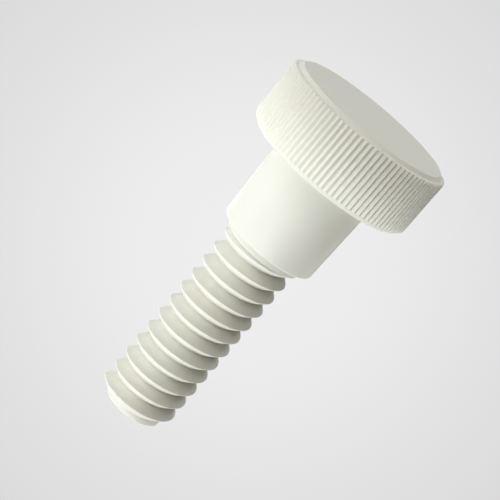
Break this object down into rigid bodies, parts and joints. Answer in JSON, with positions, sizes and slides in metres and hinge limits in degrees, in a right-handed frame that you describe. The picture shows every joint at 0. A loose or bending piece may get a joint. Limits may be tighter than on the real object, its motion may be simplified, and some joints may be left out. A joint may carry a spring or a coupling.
{
  "type": "knurled thumb screw",
  "caption": "One-piece plastic thumb screw with a knurled round head, a plain tapered collar and a short right-hand thread.",
  "frame": {"origin": "centre of the flat end of the head, which the screw stands on", "axes": "+Z along the screw's axis from the head to the tip of the thread; +X and +Y across it"},
  "size_m": [0.011, 0.0108, 0.0227],
  "materials": {
    "ivory_nylon": "satin"
  },
  "bodies": {
    "root": {"thumb_screw": "ivory_nylon"}
  },
  "joints": []
}
